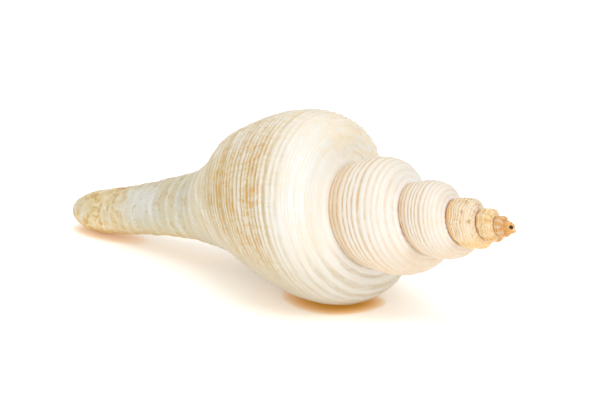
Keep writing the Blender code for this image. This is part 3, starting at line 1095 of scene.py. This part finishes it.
@dataclass(frozen=True)
class WornLime:
    """Sun-bleached shell lime: white cords, tan grooves, rust stains and a warm spire; painted shade on the
    undersides and in the pit beside the apex, and painted light beside the upper seams.
    """

    white: Colour = (0.82, 0.83, 0.81)
    bone: Colour = (0.82, 0.765, 0.70)
    frost: Colour = (0.79, 0.81, 0.83)
    # Painted light: the whiter colour laid beside the upper seam.
    fresh: Colour = (0.94, 0.925, 0.90)
    thread: Colour = (0.80, 0.64, 0.40)
    cream: Colour = (0.84, 0.76, 0.64)
    # Painted shade for the underside of the last whorl.
    shade: Colour = (0.58, 0.555, 0.485)
    tan: Colour = (0.66, 0.55, 0.32)
    groove: Colour = (0.50, 0.35, 0.13)
    rust: Colour = (0.62, 0.34, 0.07)
    band: Colour = (0.74, 0.59, 0.42)
    spire_groove: Colour = (0.64, 0.42, 0.19)
    straw: Colour = (0.84, 0.67, 0.38)
    honey: Colour = (0.82, 0.59, 0.30)
    gold: Colour = (0.84, 0.57, 0.22)
    amber: Colour = (0.70, 0.35, 0.09)
    umber: Colour = (0.50, 0.25, 0.07)
    seam: Colour = (0.30, 0.17, 0.09)
    grey: Colour = (0.57, 0.54, 0.42)
    pale: Colour = (0.74, 0.76, 0.75)
    ochre: Colour = (0.63, 0.42, 0.13)
    # Painted shade for the pit beside the apex.
    pit_shade: Colour = (0.02, 0.012, 0.01)
    glaze: Colour = (0.90, 0.82, 0.72)
    roughness: float = 0.42
    glow: float = 0.12
    knobs: int = 10
    body_turns: tuple[float, float] = (-1.12, -0.80)
    tail_rows: tuple[float, float] = (1.55, 2.05)
    lower_rows: tuple[float, float] = (0.33, 0.63)
    below_turns: Marks = (-0.68, -0.56, -0.36, -0.24)
    stain_turns: Marks = (-0.44, -0.28, -0.05, 0.08)
    stain_rows: Marks = (0.46, 0.60, 1.20, 1.45)
    rim_turns: Marks = (-0.12, 0.06, 0.30, 0.40)
    shade_turns: Marks = (-0.66, -0.54, -0.42, -0.22)
    early_turns: tuple[float, float] = (-2.45, -2.80)
    first_turns: tuple[float, float] = (-3.40, -3.80)
    tip_turns: tuple[float, float] = (-4.15, -4.50)
    # Painted shade: the part of each spire turn that faces down.
    shaded_side: Marks = (0.36, 0.52, 0.58, 0.76)
    patch_rows: Marks = (2.18, 2.30, 2.48, 2.60)
    patch_turns: Marks = (-0.32, -0.22, -0.12, -0.03)
    streak_rows: Marks = (2.46, 2.56, 2.60, 2.72)
    streak_turns: Marks = (-0.07, 0.0, 0.02, 0.10)

    def make(self) -> bpy.types.Material:
        """Builds the material.

        Returns:
            The material of the whole shell.
        """
        book = NodeBook("worn_lime")
        coil = book.tree.nodes.new("ShaderNodeUVMap")
        coil.uv_map = "coil"
        parts = book.tree.nodes.new("ShaderNodeSeparateXYZ")
        book.feed(parts.inputs[0], coil.outputs[0])
        place = book.tree.nodes.new("ShaderNodeTexCoord").outputs["Object"]
        at = Coordinates(parts.outputs[0], parts.outputs[1], place, book.attribute("crest"))
        growth = book.noise(book.spread(at.turns, at.row, 60.0, 1.6), 2.2, 5.0, 0.65)
        body = book.step(at.turns, *self.body_turns)
        colour = self.ground(book, at, growth)
        colour = book.mix(body, self.spire(book, at, colour), self.whorl(book, at, colour, growth))
        colour = book.mix(book.step(at.row, *self.tail_rows), colour, self.tail(book, at))
        colour = book.mix(book.attribute("inside"), colour, self.glaze)
        # Painted shade: the shallow pit beside the apex is coloured near black, for the dark inside the
        # hole.
        colour = book.mix(book.step(book.attribute("pit"), 0.12, 0.5), colour, self.pit_shade)
        book.feed(book.shader.inputs["Base Color"], colour)
        self.surface(book, at, growth)
        return book.material

    def ground(self, book: NodeBook, at: Coordinates, growth: Socket) -> Socket:
        """White lime with cream clouds and growth lines, and painted light beside the upper seam.

        Args:
            book: The node writer.
            at: Where the point lies.
            growth: Fine lines across the cords.

        Returns:
            The colour.
        """
        wide = book.noise(at.place, 60.0, 3.0, 0.5)
        fine = book.noise(book.spread(at.turns, at.row, 80.0, 34.0), 2.4, 3.0, 0.6)
        threads = book.noise(book.spread(at.turns, at.row, 5.0, 85.0), 1.6, 3.0, 0.6)
        colour = book.mix(book.step(at.turns, *self.body_turns, 0.6, 0.0), self.white, self.bone)
        colour = book.mix(book.step(wide, 0.38, 0.70, 0.0, 0.75), colour, self.cream)
        colour = book.mix(book.step(growth, 0.45, 0.72, 0.0, 0.35), colour, self.cream)
        colour = book.mix(book.step(threads, 0.48, 0.62, 0.0, 0.5), colour, self.thread)
        colour = book.mix(book.step(fine, 0.50, 0.66, 0.0, 0.7), colour, self.frost)
        # Painted light: the rows next to the upper seam are whitened against the shade in the crease.
        return book.mix(book.step(at.row, 0.16, 0.02, 0.0, 0.8), colour, self.fresh)

    def whorl(self, book: NodeBook, at: Coordinates, colour: Socket, growth: Socket) -> Socket:
        """The last whorl: a white shoulder, and below it tan with brown grooves and rust; painted shade
        darkens its underside.

        Args:
            book: The node writer.
            at: Where the point lies.
            colour: The ground's colour.
            growth: Fine lines across the cords.

        Returns:
            The colour.
        """
        streak = book.noise(book.spread(at.turns, at.row, 14.0, 26.0), 1.7, 4.0, 0.65, 0.4)
        cloud = book.noise(book.spread(at.turns, at.row, 6.0, 7.0), 1.3, 4.0, 0.6, 0.5)
        blot = book.noise(at.place, 430.0, 5.0, 0.72, 0.8)
        fleck = book.noise(at.place, 750.0, 3.0, 0.6)
        lower = book.step(at.row, *self.lower_rows)
        groove = book.step(at.crest, 0.35, -0.75)
        cover = book.product(lower, book.step(cloud, 0.30, 0.70, 0.15, 0.75),
                             book.step(at.row, 0.6, 1.05, 0.75, 1.25),
                             book.step(at.turns, -0.14, 0.05, 1.0, 0.6))
        colour = book.mix(cover, colour, self.tan)
        lines = book.product(lower, book.step(growth, 0.50, 0.60), book.step(streak, 0.40, 0.6, 0.15, 0.75))
        colour = book.mix(lines, colour, self.tan)
        share = book.step(streak, 0.36, 0.60, 0.25, 0.95)
        below = book.hump(at.turns, self.below_turns)
        shoulder = book.math("MAXIMUM", book.step(at.row, 0.30, 0.62, 0.10, 1.0), book.product(below, 0.62))
        depth = book.product(shoulder, book.step(at.row, 1.25, 1.6, 1.0, 0.3),
                             book.step(at.turns, -0.18, 0.02, 1.0, 0.40))
        colour = book.mix(book.product(groove, share, depth), colour, self.groove)
        zone = book.product(book.hump(at.turns, self.stain_turns), book.hump(at.row, self.stain_rows))
        stain = book.product(zone, book.step(blot, 0.46, 0.60), book.step(cloud, 0.34, 0.52),
                             book.step(at.crest, 0.5, -0.4, 0.22, 1.0),
                             book.step(fleck, 0.36, 0.56, 0.45, 1.0))
        colour = book.mix(stain, colour, self.rust)
        edge = book.hump(at.turns, self.rim_turns)
        speck = book.product(edge, book.step(at.row, 0.80, 0.50), book.step(blot, 0.42, 0.60),
                             book.step(fleck, 0.35, 0.60, 0.25, 0.7))
        colour = book.mix(speck, colour, self.straw)
        # Painted shade: tan on the lower rows of the underside, darker and yellower.
        colour = book.mix(book.product(below, lower, 0.5), colour, self.tan)
        # Painted shade: the underside is darkened toward grey olive, patchy with the cloud noise.
        under = book.product(book.hump(at.turns, self.shade_turns),
                             book.step(cloud, 0.3, 0.6, 0.6, 1.0), book.step(at.row, 0.10, 0.45, 0.45, 1.0))
        return book.mix(book.product(under, 0.85), colour, self.shade)

    def spire(self, book: NodeBook, at: Coordinates, colour: Socket) -> Socket:
        """The spire: white shoulders, tan bands over the seams, amber early whorls, and painted shade on
        each whorl's underside.

        Args:
            book: The node writer.
            at: Where the point lies.
            colour: The ground's colour.

        Returns:
            The colour.
        """
        streak = book.noise(book.spread(at.turns, at.row, 14.0, 16.0), 1.7, 4.0, 0.65, 0.4)
        patch = book.noise(at.place, 330.0, 4.0, 0.62, 0.4)
        small = book.noise(at.place, 900.0, 4.0, 0.7, 0.5)
        groove = book.step(at.crest, 0.05, -0.80)
        early = book.step(at.turns, *self.early_turns)
        first = book.step(at.turns, *self.first_turns)
        band = book.product(book.step(at.row, 0.74, 0.84), book.step(at.crest, 1.0, 0.0, 0.62, 1.0),
                            book.step(patch, 0.3, 0.6, 0.65, 0.95))
        band = book.product(band, book.step(at.turns, -1.7, -2.2, 0.95, 0.55))
        colour = book.mix(band, colour, self.band)
        warm = book.product(early, book.step(patch, 0.25, 0.5, 0.50, 0.85),
                            book.step(at.row, 0.15, 0.70, 0.65, 1.1))
        colour = book.mix(warm, colour, self.honey)
        colour = book.mix(book.product(first, book.step(patch, 0.30, 0.62, 0.60, 1.0)), colour, self.gold)
        tip = book.product(book.step(at.turns, *self.tip_turns), book.step(patch, 0.25, 0.55, 0.70, 1.0))
        colour = book.mix(tip, colour, self.amber)
        wave = book.math("COSINE", book.math("MULTIPLY", at.turns, TURN * self.knobs))
        ribs = book.product(first, book.step(wave, 0.1, 0.9), book.step(small, 0.35, 0.55, 0.1, 0.45))
        colour = book.mix(ribs, colour, self.cream)
        depth = book.step(at.row, 0.28, 0.58, 0.34, 1.0)
        depth = book.math("MAXIMUM", depth, book.product(early, book.step(at.row, 0.25, 0.55, 0.35, 0.85)))
        share = book.product(groove, depth, book.step(streak, 0.34, 0.58, 0.30, 0.85))
        colour = book.mix(share, colour, self.spire_groove)
        spot = book.product(early, book.step(small, 0.52, 0.62), book.step(patch, 0.40, 0.52), 0.85)
        colour = book.mix(spot, colour, self.umber)
        light = book.product(early, book.step(small, 0.46, 0.36), book.step(patch, 0.60, 0.45), 0.7)
        colour = book.mix(light, colour, self.cream)
        crests = book.product(early, book.step(at.crest, 0.0, 0.5),
                              book.step(at.turns, -3.4, -4.4, 0.70, 0.25),
                              book.step(at.row, 0.25, 0.6, 0.4, 1.0))
        colour = book.mix(crests, colour, self.white)
        # Painted shade: the side of each whorl that faces the table is darkened toward tan and gold.
        within = book.math("FRACT", book.math("ADD", at.turns, 10.0))
        under = book.product(book.hump(within, self.shaded_side), book.step(patch, 0.3, 0.6, 0.45, 0.8),
                             book.step(at.turns, -4.5, -4.1))
        colour = book.mix(under, colour, book.mix(early, self.band, self.gold))
        edge = book.math("ADD", at.row, book.step(at.turns, -3.3, -4.0, 0.0, 0.04))
        rust = book.product(book.step(edge, 0.80, 0.93), book.step(at.turns, -1.9, -2.7, 0.0, 0.75),
                            book.step(patch, 0.25, 0.5, 0.6, 1.0))
        colour = book.mix(rust, colour, self.amber)
        line = book.product(book.step(edge, 0.93, 0.975), book.step(at.turns, -1.75, -2.6, 0.1, 1.0),
                            book.step(patch, 0.40, 0.55, 0.65, 1.0))
        return book.mix(line, colour, self.seam)

    def tail(self, book: NodeBook, at: Coordinates) -> Socket:
        """The neck and the tail: olive grey with pale and ochre patches.

        Args:
            book: The node writer.
            at: Where the point lies.

        Returns:
            The colour.
        """
        patch = book.noise(at.place, 210.0, 4.0, 0.62, 0.5)
        small = book.noise(at.place, 480.0, 4.0, 0.65, 0.4)
        wide = book.noise(at.place, 95.0, 3.0, 0.5)
        colour = book.mix(book.step(wide, 0.35, 0.65, 0.0, 0.5), self.grey, self.tan)
        faint = book.product(book.step(at.crest, -0.2, 0.6), book.step(small, 0.36, 0.60), 0.75)
        colour = book.mix(faint, colour, self.pale)
        middle = book.product(book.hump(at.row, self.patch_rows), book.hump(at.turns, self.patch_turns))
        colour = book.mix(book.product(middle, book.step(small, 0.3, 0.55, 0.2, 0.6)), colour, self.pale)
        bright = book.product(book.step(at.row, 2.40, 2.75), book.step(patch, 0.3, 0.6, 0.35, 0.7))
        colour = book.mix(bright, colour, self.straw)
        far = book.step(at.row, 2.35, 2.80, 0.10, 0.9)
        spots = book.product(far, book.step(small, 0.44, 0.56), book.step(patch, 0.34, 0.56, 0.25, 1.0))
        colour = book.mix(spots, colour, self.ochre)
        dots = book.product(book.step(small, 0.52, 0.64), book.step(patch, 0.38, 0.5), 0.55)
        colour = book.mix(dots, colour, self.groove)
        chips = book.product(book.step(small, 0.42, 0.34), book.step(at.row, 2.3, 2.7, 0.25, 0.75))
        colour = book.mix(chips, colour, self.pale)
        streak = book.product(book.hump(at.row, self.streak_rows), book.hump(at.turns, self.streak_turns),
                              book.step(small, 0.36, 0.56, 0.2, 1.0))
        colour = book.mix(book.step(streak, 0.20, 0.70, 0.0, 0.85), colour, self.umber)
        under = book.step(at.turns, -0.33, -0.45, 0.0, 0.55)
        return book.mix(under, colour, self.ochre)

    def surface(self, book: NodeBook, at: Coordinates, growth: Socket) -> None:
        """Gloss, fine relief and the glow of light inside the lime.

        Args:
            book: The node writer.
            at: Where the point lies.
            growth: Fine lines across the cords.
        """
        shader = book.shader
        chalk = book.noise(at.place, 2600.0, 4.0, 0.7)
        rough = book.step(chalk, 0.2, 0.8, self.roughness - 0.08, self.roughness + 0.16)
        rough = book.math("SUBTRACT", rough, book.math("MULTIPLY", book.attribute("inside"), 0.22))
        book.feed(shader.inputs["Roughness"], rough)
        lines = book.noise(book.spread(at.turns, at.row, 130.0, 1.2), 2.0, 3.0, 0.6)
        relief = book.math("ADD", book.product(growth, 0.6), book.product(lines, 0.4))
        relief = book.math("ADD", relief, book.product(chalk, 0.25))
        relief = book.math("MULTIPLY", relief, book.math("SUBTRACT", 1.0, book.attribute("inside")))
        bump = book.tree.nodes.new("ShaderNodeBump")
        bump.inputs["Strength"].default_value = 0.6
        bump.inputs["Distance"].default_value = 0.0003
        book.feed(bump.inputs["Height"], relief)
        book.feed(shader.inputs["Normal"], bump.outputs[0])
        shader.inputs["Subsurface Weight"].default_value = self.glow
        shader.inputs["Subsurface Radius"].default_value = (1.0, 0.55, 0.3)
        shader.inputs["Subsurface Scale"].default_value = 0.0015
        shader.inputs["Specular IOR Level"].default_value = 0.45


@dataclass(frozen=True)
class TableTop:
    """The plain pale surface under the shell, with a painted warm shadow where the shell comes close."""

    colour: Colour = (0.93, 0.925, 0.915)
    # Painted contact shadow: orange, then dark brown right where the shell touches.
    warm: Colour = (0.80, 0.38, 0.0)
    brown: Colour = (0.36, 0.13, 0.0)
    contact_shadow_reach: float = 0.0031
    # Painted shadow: a warm beige tint over the wider area near the shell.
    shadow_tint: Colour = (0.90, 0.71, 0.49)
    shadow_tint_reach: float = 0.013
    lit: float = 0.32
    half_width: float = 3.0

    def nearness(self, book: NodeBook, reach: float) -> Socket:
        """How close the shell is over a point of the table.

        Args:
            book: The node writer.
            reach: Distance that is felt, in metres.

        Returns:
            From 0 in the open to 1 at the contact.
        """
        near = book.tree.nodes.new("ShaderNodeAmbientOcclusion")
        near.inputs["Distance"].default_value = reach
        return book.math("SUBTRACT", 1.0, near.outputs["AO"])

    def build(self) -> bpy.types.Object:
        """Makes the floor.

        Returns:
            The floor's object.
        """
        book = NodeBook("table_white")
        parts = book.tree.nodes.new("ShaderNodeSeparateXYZ")
        book.feed(parts.inputs[0], book.tree.nodes.new("ShaderNodeTexCoord").outputs["Object"])
        # Painted shadow: the colour darkens to warm beige, orange and brown as the shell comes near, weaker
        # under the tail.
        under_whorl = book.step(parts.outputs[0], -0.035, -0.010, 0.3, 1.0)
        near = book.product(self.nearness(book, self.contact_shadow_reach), under_whorl)
        contact = book.math("POWER", near, 0.6)
        deep = book.math("POWER", near, 2.4)
        far = book.math("MULTIPLY", self.nearness(book, self.shadow_tint_reach),
                        book.step(parts.outputs[0], -0.06, 0.02, 0.35, 1.0))
        colour = book.mix(far, self.colour, self.shadow_tint)
        colour = book.mix(deep, book.mix(contact, colour, self.warm), self.brown)
        book.feed(book.shader.inputs["Base Color"], colour)
        book.shader.inputs["Roughness"].default_value = 0.6
        book.shader.inputs["Specular IOR Level"].default_value = 0.1
        # Painted bounce light: the table's even glow turns orange at the contact.
        book.feed(book.shader.inputs["Emission Color"], book.mix(contact, self.colour, self.warm))
        book.shader.inputs["Emission Strength"].default_value = self.lit
        half = self.half_width
        data = bpy.data.meshes.new("floor")
        data.from_pydata([(-half, -half, 0), (half, -half, 0), (half, half, 0), (-half, half, 0)], [],
                         [(0, 1, 2, 3)])
        data.materials.append(book.material)
        floor = bpy.data.objects.new("floor", data)
        bpy.context.scene.collection.objects.link(floor)
        return floor


@dataclass(frozen=True)
class Panel:
    """One square soft light that faces the shell, in metres and watts."""

    name: str
    place: tuple[float, float, float]
    side: float
    power: float
    colour: Colour
    faced: tuple[float, float, float] = (0.0, 0.0, 0.02)

    def build(self) -> None:
        """Makes the light."""
        data = bpy.data.lights.new(self.name, "AREA")
        data.size = self.side
        data.energy = self.power
        data.color = self.colour
        light = bpy.data.objects.new(self.name, data)
        light.location = self.place
        facing = Vector(self.faced) - Vector(self.place)
        light.rotation_euler = facing.to_track_quat("-Z", "Y").to_euler()
        bpy.context.scene.collection.objects.link(light)


@dataclass
class Studio:
    """Camera at the photograph's angle, and soft light."""

    up: tuple[float, float, float] = (-0.1889, 0.2243, 0.9560)
    toward: tuple[float, float, float] = (0.6287, -0.7203, 0.2932)
    distance: float = 0.58504
    lens: float = 130.97
    shift: tuple[float, float] = (0.0026, 0.0183)
    target_along: float = 0.0112
    room: Colour = (1.0, 0.99, 0.97)
    room_light: float = 0.68
    panels: tuple[Panel, ...] = (
        Panel("key_light", (0.36, -0.16, 0.85), 0.5, 3.22, (1.0, 0.975, 0.94)),
        Panel("front_light", (0.42, -0.50, 0.32), 0.4, 0.78, (1.0, 0.99, 0.97)),
        Panel("back_light", (-0.35, 0.30, 0.60), 0.5, 0.55, (1.0, 0.98, 0.95)))

    def camera(self, coil: Coil) -> None:
        """Places the camera.

        Args:
            coil: Gives the axis that it looks at.
        """
        data = bpy.data.cameras.new("camera")
        data.lens = self.lens
        data.sensor_width = 36.0
        data.shift_x, data.shift_y = self.shift
        data.clip_start = 0.01
        camera = bpy.data.objects.new("camera", data)
        axis = Vector((math.cos(coil.axis_rise), 0, math.sin(coil.axis_rise)))
        target = Vector(coil.stand) * MM + axis * self.target_along
        toward = Vector(self.toward).normalized()
        right = Vector(self.up).cross(toward).normalized()
        up = toward.cross(right)
        turned = Matrix((right, up, toward)).transposed().to_4x4()
        camera.matrix_world = Matrix.Translation(target + toward * self.distance) @ turned
        bpy.context.scene.collection.objects.link(camera)
        bpy.context.scene.camera = camera

    def lights(self) -> None:
        """A white room and three soft panels."""
        world = bpy.data.worlds.new("room")
        world.use_nodes = True
        background = world.node_tree.nodes["Background"]
        background.inputs[0].default_value = (*self.room, 1.0)
        background.inputs[1].default_value = self.room_light
        bpy.context.scene.world = world
        for panel in self.panels:
            panel.build()
        bpy.context.scene.view_settings.view_transform = "Standard"
        bpy.context.scene.view_settings.look = "None"


def main() -> None:
    """Builds the scene."""
    logging.basicConfig(level=logging.INFO, format="%(message)s")
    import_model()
    shell = ConchShell()
    skin = shell.build()
    skin.data.materials.append(WornLime().make())
    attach(skin, "root")
    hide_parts("shell")
    TableTop().build()
    LOG.info("table: built")
    studio = Studio()
    studio.camera(shell.coil)
    studio.lights()
    LOG.info("studio: built")


if __name__ == "__main__":
    main()
